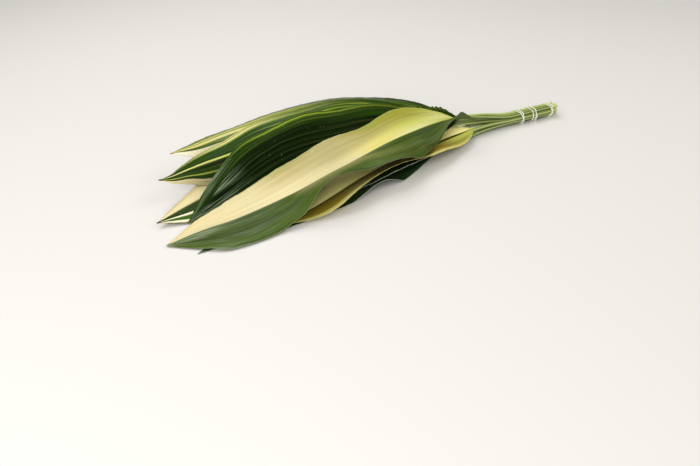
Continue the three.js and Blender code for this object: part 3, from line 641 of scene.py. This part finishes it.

# The look of each leaf. bands: stripes across the leaf at shares of its blade, from the stalk (0)
# to the tip (1); each set turns into the next. A stripe starts at its number, from -1 at the far
# edge over 0 at the midrib to 1 at the near edge, and runs to the next one. rim: colour and
# strength of the thin edge. softness: half width of the soft borders of the stripes, as a share of
# the leaf's width. veins: strength of the light vein lines. bloom_and_sheen: strength of the grey
# patches at the base and at the tip, which are partly waxy bloom and partly painted sheen. stalk:
# how pale the stalk is, from 0 to 1. tip: colour of the dry tip.
LOOKS = {
    "leaf_01": dict(
        bands=[(0.2, [(-1, DEEP_GREEN), (0, BLUE_GREEN)]), (0.75, [(-1, DEEP_GREEN)])],
        rim=(RIM_GREY, 1.0), veins=0.1, bloom_and_sheen=(0.15, 0.5), stalk=0.2, tip=BLOOM_AND_SHEEN,
    ),
    "leaf_02": dict(
        bands=[(0.2, [(-1, DEEP_GREEN), (0, MID_GREEN)]), (0.5, [(-1, DEEP_GREEN)])],
        rim=(RIM_GREY, 1.0), veins=0.15, bloom_and_sheen=(0.1, 0.3), stalk=0.3, tip=MID_GREEN,
    ),
    "leaf_03": dict(
        bands=[
            (0.3, [(-1, CREAM), (0, DEEP_GREEN), (0.5, MID_GREEN)]),
            (0.6, [(-1, CREAM), (-0.14, KHAKI), (-0.05, DEEP_GREEN), (0.34, CREAM), (0.42, MID_GREEN),
                (0.7, CREAM), (0.92, DEEP_GREEN)]),
            (1.0, [(-1, BEIGE), (-0.72, CREAM), (-0.14, KHAKI), (-0.06, DEEP_GREEN), (0.33, PALE_CREAM),
                (0.44, MID_GREEN), (0.7, PALE_CREAM), (0.93, DEEP_GREEN)]),
        ],
        rim=(BEIGE, 0.5), veins=0.1, bloom_and_sheen=(0.1, 0.4), stalk=0.35, tip=BROWN,
    ),
    # leaf_04 lies under leaf_10's edge: its brightest cream is painted light, the dark stripe at its
    # midrib is painted crease shade, and its olive near half is partly its own colour and partly painted
    # shade.
    "leaf_04": dict(
        bands=[
            (0.03, [(-1, CREAM_WITH_PAINTED_LIGHT), (-0.1, LEAF_GREEN), (0.02, LIME)]),
            (0.1, [(-1, LEAF_GREEN), (-0.85, CREAM_WITH_PAINTED_LIGHT), (-0.12, DEEP_GREEN), (0.05, LIME),
                (0.5, OLIVE_LIME), (0.82, BUTTER)]),
            (0.22, [(-1, MID_GREEN), (-0.84, CREAM_WITH_PAINTED_LIGHT), (-0.5, BUTTER), (-0.1, PAINTED_CREASE_SHADE),
                (0.05, OLIVE), (0.72, BUTTER)]),
            (0.45, [(-1, MID_GREEN), (-0.84, CREAM), (-0.65, CREAM_WITH_PAINTED_LIGHT), (-0.3, BUTTER),
                (-0.1, PAINTED_CREASE_SHADE), (0.03, OLIVE), (0.7, BUTTER)]),
            (0.8, [(-1, MID_GREEN), (-0.85, CREAM_WITH_PAINTED_LIGHT), (-0.08, PAINTED_CREASE_SHADE), (0.03, OLIVE),
                (0.7, BUTTER)]),
        ],
        rim=(BUTTER, 0.7), softness=0.05, veins=0.15, bloom_and_sheen=(0.05, 0.1), stalk=0.45, tip=OLIVE,
    ),
    "leaf_05": dict(
        bands=[(0.2, [(-1, DEEP_GREEN)]), (0.8, [(-1, BLACK_GREEN)])],
        rim=(RIM, 0.5), veins=0.15, bloom_and_sheen=(0.1, 0.2), stalk=0.25, tip=OLIVE,
    ),
    "leaf_06": dict(
        bands=[(0.2, [(-1, LEAF_GREEN)]), (0.8, [(-1, MID_GREEN)])],
        rim=(RIM, 0.5), veins=0.2, bloom_and_sheen=(0.1, 0.2), stalk=0.35, tip=OLIVE,
    ),
    "leaf_07": dict(
        bands=[
            (0.15, [(-1, DEEP_GREEN), (-0.7, FOREST_GREEN), (-0.3, YELLOW_GREEN), (-0.24, FOREST_GREEN),
                (0.1, YELLOW_GREEN), (0.16, DEEP_GREEN)]),
            (0.45, [(-1, LEAF_GREEN), (-0.6, FOREST_GREEN), (-0.35, YELLOW_GREEN), (-0.25, DEEP_GREEN),
                (-0.1, YELLOW_GREEN), (0.1, LIME), (0.18, FOREST_GREEN), (0.4, DEEP_GREEN)]),
            (0.72, [(-1, LEAF_GREEN), (-0.7, YELLOW_GREEN), (-0.4, FOREST_GREEN), (-0.34, BUTTER),
                (-0.12, YELLOW_GREEN), (0.06, CREAM), (0.14, MOSS_GREEN), (0.3, FOREST_GREEN),
                (0.5, DEEP_GREEN)]),
            (1.0, [(-1, FOREST_GREEN), (-0.85, YELLOW_GREEN), (-0.5, MOSS_GREEN), (-0.36, CREAM),
                (0.0, FOREST_GREEN), (0.04, BUTTER), (0.2, FOREST_GREEN), (0.4, PALE_CREAM)]),
        ],
        rim=(LEAF_GREEN, 0.6), veins=0.5, bloom_and_sheen=(0.9, 0.1), stalk=0.5, tip=OLIVE,
    ),
    "leaf_08": dict(
        bands=[
            (0.2, [(-1, FOREST_GREEN), (-0.7, YELLOW_GREEN), (-0.62, FOREST_GREEN), (-0.4, DEEP_GREEN),
                (-0.1, MOSS_GREEN), (0.05, DEEP_GREEN)]),
            (0.5, [(-1, MOSS_GREEN), (-0.84, YELLOW_GREEN), (-0.76, FOREST_GREEN), (-0.55, YELLOW_GREEN),
                (-0.48, DEEP_GREEN), (0, BLACK_GREEN)]),
            (0.72, [(-1, BUTTER), (-0.94, YELLOW_GREEN), (-0.88, CREAM), (-0.8, YELLOW_GREEN),
                (-0.72, FOREST_GREEN), (-0.3, DEEP_GREEN), (-0.04, LIME), (0.05, BLACK_GREEN),
                (0.5, DEEP_GREEN)]),
            (1.0, [(-1, BEIGE), (-0.95, FOREST_GREEN), (-0.06, PALE_LIME), (0.05, DEEP_GREEN),
                (0.28, FOREST_GREEN), (0.42, LIME), (0.52, DEEP_GREEN), (0.74, CREAM)]),
        ],
        rim=(MOSS_GREEN, 0.4), veins=0.2, bloom_and_sheen=(0.1, 0.05), stalk=0.95, tip=DEEP_GREEN,
    ),
    "leaf_09": dict(
        bands=[
            (0.1, [(-1, DEEP_GREEN), (-0.9, MOSS_GREEN), (-0.84, DEEP_GREEN), (-0.66, FOREST_GREEN),
                (-0.5, BLACK_GREEN)]),
            (0.6, [(-1, FOREST_GREEN), (-0.94, YELLOW_GREEN), (-0.91, LEAF_GREEN), (-0.86, DEEP_GREEN),
                (-0.7, BLACK_GREEN)]),
            (0.78, [(-1, FOREST_GREEN), (-0.93, DEEP_GREEN), (-0.6, BLACK_GREEN)]),
            (0.93, [(-1, FOREST_GREEN), (-0.86, DEEP_GREEN), (-0.3, BLACK_GREEN), (0.3, BLUE_GREEN)]),
        ],
        rim=(MOSS_GREEN, 0.5), veins=0.15, bloom_and_sheen=(0.0, 2.2), stalk=0.3, tip=LEAF_GREEN,
    ),
    "leaf_10": dict(
        bands=[
            (0.02, [(-1, LIME), (-0.02, GREY_GREEN)]),
            (0.12, [(-1, LIME), (-0.8, PALE_LIME), (-0.3, LIME), (-0.01, GREY_GREEN)]),
            (0.22, [(-1, OLIVE_LIME), (-0.5, LIME), (-0.25, PALE_LIME), (-0.01, GREY_GREEN)]),
            # The khaki and beige along the far edge from 0.34 to 0.62 are painted shade where the far
            # half turns away from the light.
            (0.34, [(-1, OLIVE_LIME), (-0.75, KHAKI), (-0.4, BUTTER), (-0.01, LEAF_GREEN),
                (0.5, GREY_GREEN)]),
            (0.46, [(-1, BEIGE), (-0.3, CREAM), (-0.01, LEAF_GREEN), (0.35, MOSS_GREEN),
                (0.7, LEAF_GREEN)]),
            (0.62, [(-1, KHAKI), (-0.86, BEIGE), (-0.45, CREAM), (-0.01, LEAF_GREEN)]),
            (0.78, [(-1, CREAM), (-0.01, GREY_GREEN), (0.6, LEAF_GREEN)]),
            (1.0, [(-1, PEACH), (-0.4, CREAM), (-0.01, LEAF_GREEN)]),
        ],
        rim=(RIM, 0.35), softness=0.07, veins=0.35, bloom_and_sheen=(0.25, 1.5), stalk=0.0, tip=BLOOM_AND_SHEEN,
    ),
}


class Nodes:
    """A short way to build a node tree."""

    def __init__(self, name):
        self.material = bpy.data.materials.new(name)
        self.material.use_nodes = True
        self.tree = self.material.node_tree
        self.shader = self.tree.nodes["Principled BSDF"]

    def add(self, kind, **settings):
        node = self.tree.nodes.new(kind)
        for key, value in settings.items():
            setattr(node, key, value)
        return node

    def put(self, source, socket):
        if isinstance(source, bpy.types.NodeSocket):
            self.tree.links.new(source, socket)
        else:
            socket.default_value = source

    def math(self, operation, a, b=0.0, clamp=False):
        node = self.add("ShaderNodeMath", operation=operation, use_clamp=clamp)
        self.put(a, node.inputs[0])
        self.put(b, node.inputs[1])
        return node.outputs[0]

    def times(self, a, b):
        return self.math("MULTIPLY", a, b)

    def plus(self, a, b):
        return self.math("ADD", a, b)

    def aside(self, across):
        """Distance from the midrib, as a share of the leaf's width."""
        return self.math("ABSOLUTE", self.math("SUBTRACT", across, 0.5))

    def shade(self, name, source):
        self.put(source, self.shader.inputs[name])

    def mix(self, factor, a, b, blend="MIX"):
        node = self.add("ShaderNodeMix", data_type="RGBA", blend_type=blend)
        self.put(factor, node.inputs["Factor"])
        self.put(a, node.inputs[6])
        self.put(b, node.inputs[7])
        return node.outputs[2]

    def step(self, value, low, high):
        node = self.add("ShaderNodeMapRange", interpolation_type="SMOOTHSTEP")
        self.put(value, node.inputs[0])
        self.put(low, node.inputs[1])
        self.put(high, node.inputs[2])
        return node.outputs[0]

    def split(self, vector):
        node = self.add("ShaderNodeSeparateXYZ")
        self.put(vector, node.inputs[0])
        return node.outputs

    def object_place(self):
        return self.add("ShaderNodeTexCoord").outputs["Object"]

    def noise(self, x, y, z, detail):
        place = self.add("ShaderNodeCombineXYZ")
        for source, socket in zip((x, y, z), place.inputs):
            self.put(source, socket)
        node = self.add("ShaderNodeTexNoise")
        self.put(place.outputs[0], node.inputs["Vector"])
        node.inputs["Scale"].default_value = 1.0
        node.inputs["Detail"].default_value = detail
        return node.outputs["Fac"]

    def grain(self, scale):
        """Even noise in the object's own space."""
        node = self.add("ShaderNodeTexNoise")
        self.put(self.object_place(), node.inputs["Vector"])
        node.inputs["Scale"].default_value = scale
        return node.outputs["Fac"]

    def streaks(self, across, along, size, seed, detail=2.0):
        """Uneven streaks along a leaf. size: counts over its width and over its length."""
        wide, long = size
        return self.noise(self.times(across, wide), self.times(along, long), seed, detail)

    def centred(self, value, size):
        return self.times(self.math("SUBTRACT", value, 0.5), size)

    def red_of(self, colour):
        node = self.add("ShaderNodeSeparateColor")
        self.put(colour, node.inputs[0])
        return node.outputs[0]

    def grey(self, value):
        node = self.add("ShaderNodeCombineColor")
        for socket in node.inputs[:3]:
            self.put(value, socket)
        return node.outputs[0]

    def bump(self, height, strength, distance):
        node = self.add("ShaderNodeBump")
        node.inputs["Strength"].default_value = strength
        node.inputs["Distance"].default_value = distance
        self.put(height, node.inputs["Height"])
        self.put(node.outputs[0], self.shader.inputs["Normal"])

    def ramp(self, value, stops):
        node = self.add("ShaderNodeValToRGB")
        elements = node.color_ramp.elements
        while len(elements) > 1:
            elements.remove(elements[-1])
        elements[0].position = stops[0][0]
        elements[0].color = stops[0][1]
        for position, colour in stops[1:]:
            elements.new(position).color = colour
        self.put(value, node.inputs[0])
        return node.outputs[0]


# Patterns on a leaf. The pairs that end in STREAKS, LINES, PATCHES or SPECKS are counts over its
# width and over its length. The pairs that end in RANGE are where a smooth step begins and ends.
BORDER_DRIFT = 5.0             # how often a border wanders along a leaf
BORDER_WANDER = 0.05
BORDER_FRAY = 0.04
CRISP_REACH = 6.0              # borders are straighter near the midrib
CRISP_BORDER = 0.008
BORDER_SOFTNESS = 0.012
MIDRIB_REACH = 0.2
BAND_FRAY = 0.3
SEED_STEP = 7.3

BROAD_STREAKS = (26.0, 1.4)
FINE_STREAKS = (58.0, 2.0)
BROAD_STRENGTH = 1.3
FINE_STRENGTH = 2.6
PALE_FADE = 1.8                # streaks, veins, bloom and painted sheen are weaker on a pale colour
LEAST_CONTRAST = 0.12

VEIN_LINES = (150.0, 3.0)
VEIN_RANGE = (0.52, 0.7)
VEIN_GROUP_RANGE = (0.3, 0.7)

# Grey patches at a leaf's base and tip, partly waxy bloom and partly painted sheen.
BLOOM_AND_SHEEN_PATCHES = (7.0, 5.0)
BLOOM_AND_SHEEN_STREAKS = (60.0, 9.0)
PATCH_RANGE = (0.4, 0.62)
BRUSHED_RANGE = (0.35, 0.7)
BLOOM_AND_SHEEN_TIP_RANGE = (0.74, 0.92)

SPECKS = (110.0, 420.0)
SPECK_RANGE = (0.88, 0.92)
EDGE_RANGE = (0.486, 0.494)
DRY_TIP_RANGE = (0.982, 0.996)
BLADE_RANGE = (-0.02, 0.04)
UNDER_TINT = 0.3

STALK_UNEVEN = 2.5
STALK_STREAK = 0.35
STALK_STREAK_RANGE = (0.3, 0.7)
# A painted highlight along the raised edges of a stalk's groove.
STALK_RIDGE_HIGHLIGHT = 0.6
STALK_RIDGE_HIGHLIGHT_RANGE = (0.3, 0.46)
PALE_STALK_RANGE = (332 * MM, 352 * MM)

UPPER_ROUGHNESS = (0.32, 0.46)
UNDER_ROUGHNESS = (0.5, 0.65)
LEAF_SPECULAR = 0.3
LEAF_BUMP = 0.5
BUMP_HEIGHT = 0.16 * MM
VEIN_RELIEF = 0.5
FINE_RELIEF = 0.8
BROAD_RELIEF = 1.2

MATT = 0.7                     # roughness of the cut ends and of the ties
CUT_GRAIN = 900.0
TIE_WEAVE = 1500.0
TIE_BUMP = 0.4
TIE_BUMP_HEIGHT = 0.1 * MM


def stripe_stops(stripes, softness):
    """Colour stops for stripes across a leaf. A border is softer away from the midrib."""
    stops = [(0.0, stripes[0][1])]
    for (_, before), (start, colour) in zip(stripes, stripes[1:]):
        place = (start + 1) / 2
        reach = CRISP_BORDER if abs(start) < MIDRIB_REACH else softness
        stops.append((place - reach, before))
        stops.append((place + reach, colour))
    return stops


def striped_colour(n, look, across, along, fray, seed):
    """The stripes of a leaf, which change along it."""
    bands = look["bands"]
    softness = look.get("softness", BORDER_SOFTNESS)
    drift = n.noise(n.times(along, BORDER_DRIFT), seed, 0.0, detail=1.0)
    wobble = n.plus(n.centred(drift, BORDER_WANDER), n.centred(fray, BORDER_FRAY))
    aside = n.aside(across)
    away = n.math("MULTIPLY", aside, CRISP_REACH, clamp=True)
    place = n.plus(across, n.times(wobble, away))
    turn = n.plus(along, n.centred(fray, BAND_FRAY))
    before, stripes = bands[0]
    colour = n.ramp(place, stripe_stops(stripes, softness))
    for at, stripes in bands[1:]:
        following = n.ramp(place, stripe_stops(stripes, softness))
        colour = n.mix(n.step(turn, before, at), colour, following)
        before = at
    return colour


def stalk_colour(n, share, across, broad, fine):
    """Green streaks, a painted highlight along the edges of the groove, and paler towards the cut end."""
    light = n.plus(n.centred(broad, STALK_UNEVEN), share)
    colour = n.mix(n.step(light, 0.0, 1.0), STALK_DARK, STALK_LIGHT)
    streak = n.times(n.step(fine, *STALK_STREAK_RANGE), STALK_STREAK)
    colour = n.mix(streak, colour, STALK)
    aside = n.aside(across)
    # Painted highlight on the raised edges of the groove.
    ridge_highlight = n.times(n.step(aside, *STALK_RIDGE_HIGHLIGHT_RANGE), STALK_RIDGE_HIGHLIGHT)
    colour = n.mix(ridge_highlight, colour, STALK_LIGHT)
    place_x = n.split(n.object_place())[0]
    return n.mix(n.step(place_x, *PALE_STALK_RANGE), colour, CUT)


def leaf_material(leaf, index, under):
    """Stripes, parallel veins, waxy bloom and painted sheen, a thin light edge and a dry tip."""
    look = LOOKS[leaf["name"]]
    n = Nodes(leaf["name"] + ("_under" if under else "_upper"))
    across, along, _ = n.split(n.add("ShaderNodeUVMap", uv_map="leaf").outputs[0])
    seed = index * SEED_STEP

    fray = n.streaks(across, along, VEIN_LINES, seed)
    broad = n.streaks(across, along, BROAD_STREAKS, seed + 1)
    fine = n.streaks(across, along, FINE_STREAKS, seed + 2)
    lines = n.streaks(across, along, VEIN_LINES, seed + 3)
    colour = striped_colour(n, look, across, along, fray, seed)

    paleness = n.red_of(colour)
    contrast = n.math("SUBTRACT", 1.0, n.times(paleness, PALE_FADE))
    contrast = n.math("MAXIMUM", contrast, LEAST_CONTRAST)
    uneven = n.plus(n.centred(broad, BROAD_STRENGTH), n.centred(fine, FINE_STRENGTH))
    bright = n.plus(1.0, n.times(uneven, contrast))
    colour = n.mix(1.0, colour, n.grey(bright), "MULTIPLY")

    vein = n.times(n.step(lines, *VEIN_RANGE), n.step(broad, *VEIN_GROUP_RANGE))
    vein = n.times(n.times(vein, look["veins"]), contrast)
    colour = n.mix(vein, colour, LIME)

    # Grey patches, partly waxy bloom and partly painted sheen, a little rougher where they lie.
    patches = n.streaks(across, along, BLOOM_AND_SHEEN_PATCHES, seed + 4)
    brushed = n.streaks(across, along, BLOOM_AND_SHEEN_STREAKS, seed + 5)
    bloom_and_sheen = n.times(n.step(patches, *PATCH_RANGE), n.step(brushed, *BRUSHED_RANGE))
    at_base, at_tip = look["bloom_and_sheen"]
    spread = n.times(n.step(along, *BLOOM_AND_SHEEN_TIP_RANGE), at_tip - at_base)
    strength = n.times(n.plus(spread, at_base), n.times(bloom_and_sheen, contrast))
    colour = n.mix(strength, colour, BLOOM_AND_SHEEN)
    specks = n.streaks(across, along, SPECKS, seed + 6, detail=0.0)
    colour = n.mix(n.step(specks, *SPECK_RANGE), colour, PALE_CREAM)

    rim_colour, rim_strength = look["rim"]
    edge = n.times(n.step(n.aside(across), *EDGE_RANGE), rim_strength)
    colour = n.mix(edge, colour, rim_colour)
    colour = n.mix(n.step(along, *DRY_TIP_RANGE), colour, look["tip"])

    stalk = stalk_colour(n, look["stalk"], across, broad, fine)
    colour = n.mix(n.step(along, *BLADE_RANGE), stalk, colour)
    if under:
        colour = n.mix(UNDER_TINT, colour, GREY_GREEN)

    n.shade("Base Color", colour)
    least, most = UNDER_ROUGHNESS if under else UPPER_ROUGHNESS
    rough = n.plus(least, n.times(bloom_and_sheen, most - least))
    n.shade("Roughness", rough)
    n.shade("Specular IOR Level", LEAF_SPECULAR)

    height = n.times(lines, VEIN_RELIEF)
    height = n.plus(height, n.times(fine, FINE_RELIEF))
    height = n.plus(height, n.times(broad, BROAD_RELIEF))
    n.bump(height, LEAF_BUMP, BUMP_HEIGHT)
    return n.material


def cut_material():
    n = Nodes("cut_end")
    colour = n.mix(n.grain(CUT_GRAIN), CUT, STALK_LIGHT)
    n.shade("Base Color", colour)
    n.shade("Roughness", MATT)
    return n.material


def tie_material():
    n = Nodes("tie_cord")
    weave = n.grain(TIE_WEAVE)
    colour = n.mix(weave, CORD_SHADE, CORD)
    n.shade("Base Color", colour)
    n.shade("Roughness", MATT)
    n.bump(weave, TIE_BUMP, TIE_BUMP_HEIGHT)
    return n.material


# ---- Pieces ----


def add_piece(name, mesh, node, materials):
    """A piece that stands for a node of the solids."""
    piece = bpy.data.objects.new(name, mesh)
    bpy.context.scene.collection.objects.link(piece)
    for material in materials:
        mesh.materials.append(material)
    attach(piece, "root")
    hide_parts(node)


cut_end = cut_material()
for index, net in enumerate(nets):
    leaf = net["leaf"]
    looks = [leaf_material(leaf, index, False), leaf_material(leaf, index, True), cut_end]
    mesh = leaf_mesh(fine_net(net))
    add_piece(leaf["name"] + "_fine", mesh, leaf["name"], looks)


# ---- Ties ----


def bundle_corners():
    """Points of the bundled stalks, seen along the bundle: side and height."""
    points = all_points - BUNDLE_END
    near_end = points @ BUNDLE_AXIS < BUNDLE_KNOTS[-1]
    return np.stack([points[near_end] @ BUNDLE_SIDE, all_points[near_end, 2]], axis=-1)


def bundle_outline(corners, clearance, count):
    """Evenly spaced points on the line round the bundle: side and height."""
    angle = np.linspace(0, 2 * math.pi, OUTLINE_STEPS + 1)
    direction = np.stack([np.sin(angle), np.cos(angle)], axis=-1)
    best = corners[np.argmax(direction @ corners.T, axis=1)]
    outline = best + clearance * direction
    lengths = np.concatenate([[0], np.cumsum(np.linalg.norm(np.diff(outline, axis=0), axis=1))])
    targets = lengths[-1] * np.arange(count) / count
    return np.stack([np.interp(targets, lengths, outline[:, c]) for c in range(2)], axis=-1)


def overlap(angle, turns):
    """How far a strand rides over the others, from 0 to 1."""
    last = (2 * turns - 1) * math.pi
    first = last if turns == 2 else last - math.pi
    outside = np.maximum(np.maximum(first - angle, angle - last), 0)
    return np.exp(-((outside / TIE_CROSSING) ** 2))


def tie_path(tie, corners):
    """The middle line of a tie, which winds round the bundle and crosses over itself."""
    steps = TIE_STEPS_PER_TURN
    inner = bundle_outline(corners, TIE_GAP + TIE_RADIUS, steps)
    outer = bundle_outline(corners, 2 * TIE_GAP + 3 * TIE_RADIUS, steps)
    k = np.arange(steps * tie["turns"])
    winding = 2 * math.pi * k / steps
    place = (k + round(tie["start"] / 360 * steps) + steps) % steps
    around = 2 * math.pi * place / steps
    swing = tie["spread"] * np.cos(winding / tie["turns"])
    lean = tie["slant"] / 2 * np.cos(around)
    over = overlap(winding, tie["turns"])[:, None]
    side, height = (inner[place] * (1 - over) + outer[place] * over).T
    distance = tie["at"] + swing + lean
    path = BUNDLE_END + BUNDLE_AXIS * distance[:, None] + BUNDLE_SIDE * side[:, None]
    path[:, 2] = height
    return path


def smooth_loop(path, finer):
    """A closed line through the same points, with more of them."""
    count = len(path)
    wrapped = np.concatenate([path[-3:], path, path[:4]])
    at = np.arange(count * finer) / finer
    return interpolate(np.arange(-3, count + 4), wrapped, at)


def tube_mesh(name, path, radius, sides):
    """A closed tube along a closed line, flat where it touches the surface below."""
    along = unit(np.roll(path, -1, axis=0) - np.roll(path, 1, axis=0))
    first = unit(BUNDLE_AXIS - along * (along @ BUNDLE_AXIS)[:, None])
    second = np.cross(along, first)
    angle = 2 * math.pi * np.arange(sides) / sides
    ring = first[:, None] * np.cos(angle)[:, None] + second[:, None] * np.sin(angle)[:, None]
    points = (path[:, None] + radius * ring).reshape(-1, 3)
    points[:, 2] = np.maximum(points[:, 2], 0)
    k, m = np.meshgrid(np.arange(len(path)), np.arange(sides), indexing="ij")
    after = (k + 1) % len(path)
    turn = (m + 1) % sides
    quads = np.stack([k * sides + m, k * sides + turn, after * sides + turn, after * sides + m], -1)
    mesh = bpy.data.meshes.new(name)
    mesh.from_pydata(to_metres(points).tolist(), [], quads.reshape(-1, 4).tolist())
    mesh.polygons.foreach_set("use_smooth", np.ones(len(mesh.polygons), bool))
    mesh.update()
    return mesh


corners = bundle_corners()
cord_look = tie_material()
for tie in TIES:
    path = smooth_loop(tie_path(tie, corners), FINE_TIE_STEPS)
    name = tie["name"] + "_fine"
    mesh = tube_mesh(name, path, TIE_RADIUS, FINE_TIE_SIDES)
    add_piece(name, mesh, tie["name"], [cord_look])

# ---- Stage, light and camera ----

FLOOR_SIZE = 6.0
FLOOR_DROP = 0.6 * MM
FLOOR_ROUGHNESS = 0.8
SKY_STRENGTH = 0.3


def add_floor():
    half = FLOOR_SIZE / 2
    mesh = bpy.data.meshes.new("floor")
    corners = [(-half, -half, 0), (half, -half, 0), (half, half, 0), (-half, half, 0)]
    mesh.from_pydata(corners, [], [(0, 1, 2, 3)])
    floor = bpy.data.objects.new("floor", mesh)
    floor.location.z = -FLOOR_DROP
    bpy.context.scene.collection.objects.link(floor)
    n = Nodes("floor")
    n.shade("Base Color", FLOOR)
    n.shade("Roughness", FLOOR_ROUGHNESS)
    mesh.materials.append(n.material)


def add_area_light(name, place, target, size, power, shows_in_gloss=False):
    """A square lamp. Places and size are in metres, power in watts."""
    light = bpy.data.lights.new(name, "AREA")
    light.shape = "SQUARE"
    light.size = size
    light.energy = power
    holder = bpy.data.objects.new(name, light)
    holder.location = place
    aim = Vector(target) - Vector(place)
    holder.rotation_euler = aim.to_track_quat("-Z", "Y").to_euler()
    holder.visible_glossy = shows_in_gloss
    bpy.context.scene.collection.objects.link(holder)


add_floor()
add_area_light("back", (-0.1, 0.9, 1.7), (0, 0, 0), 1.3, 15)
add_area_light("front", (-1.3, -1.3, 0.9), (0, 0, 0), 1.0, 19)
add_area_light("left", (-1.2, -0.1, 1.4), (0, 0, 0), 1.2, 8)
add_area_light("right", (1.2, -0.8, 1.2), (0.1, 0, 0), 1.0, 7)
add_area_light("sheen", (0.45, 1.1, 1.2), (-0.1, 0, 0), 0.6, 1.2, shows_in_gloss=True)

world = bpy.data.worlds.new("studio")
world.use_nodes = True
sky = world.node_tree.nodes["Background"]
sky.inputs["Color"].default_value = (1.0, 1.0, 1.0, 1.0)
sky.inputs["Strength"].default_value = SKY_STRENGTH
bpy.context.scene.world = world
world.cycles_visibility.glossy = False
bpy.context.scene.view_settings.view_transform = "Standard"

# The camera stands where the photograph was taken from. Its place is in the leaves' layout, and its
# heading is turned from +X towards +Y.
CAMERA_PLACE = np.array([-579.465, -846.832, 523.659])
CAMERA_HEADING = math.radians(59.001)
CAMERA_PITCH = math.radians(-31.468)
CAMERA_ROLL = math.radians(-2.814)
SENSOR_WIDTH = 36.0
FOCAL_PIXELS = 760.836
PHOTO_WIDTH = 700

camera = bpy.data.cameras.new("camera")
camera.sensor_fit = "HORIZONTAL"
camera.sensor_width = SENSOR_WIDTH
camera.lens = SENSOR_WIDTH * FOCAL_PIXELS / PHOTO_WIDTH
camera.clip_start = 0.01
viewer = bpy.data.objects.new("camera", camera)
heading = Matrix.Rotation(CAMERA_HEADING - math.pi / 2, 4, "Z")
pitch = Matrix.Rotation(math.pi / 2 + CAMERA_PITCH, 4, "X")
roll = Matrix.Rotation(CAMERA_ROLL, 4, "Z")
place = Matrix.Translation(to_metres(CAMERA_PLACE).tolist())
viewer.matrix_world = place @ heading @ pitch @ roll
bpy.context.scene.collection.objects.link(viewer)
bpy.context.scene.camera = viewer

# ---- Last update of the scene ----

bpy.context.view_layer.update()
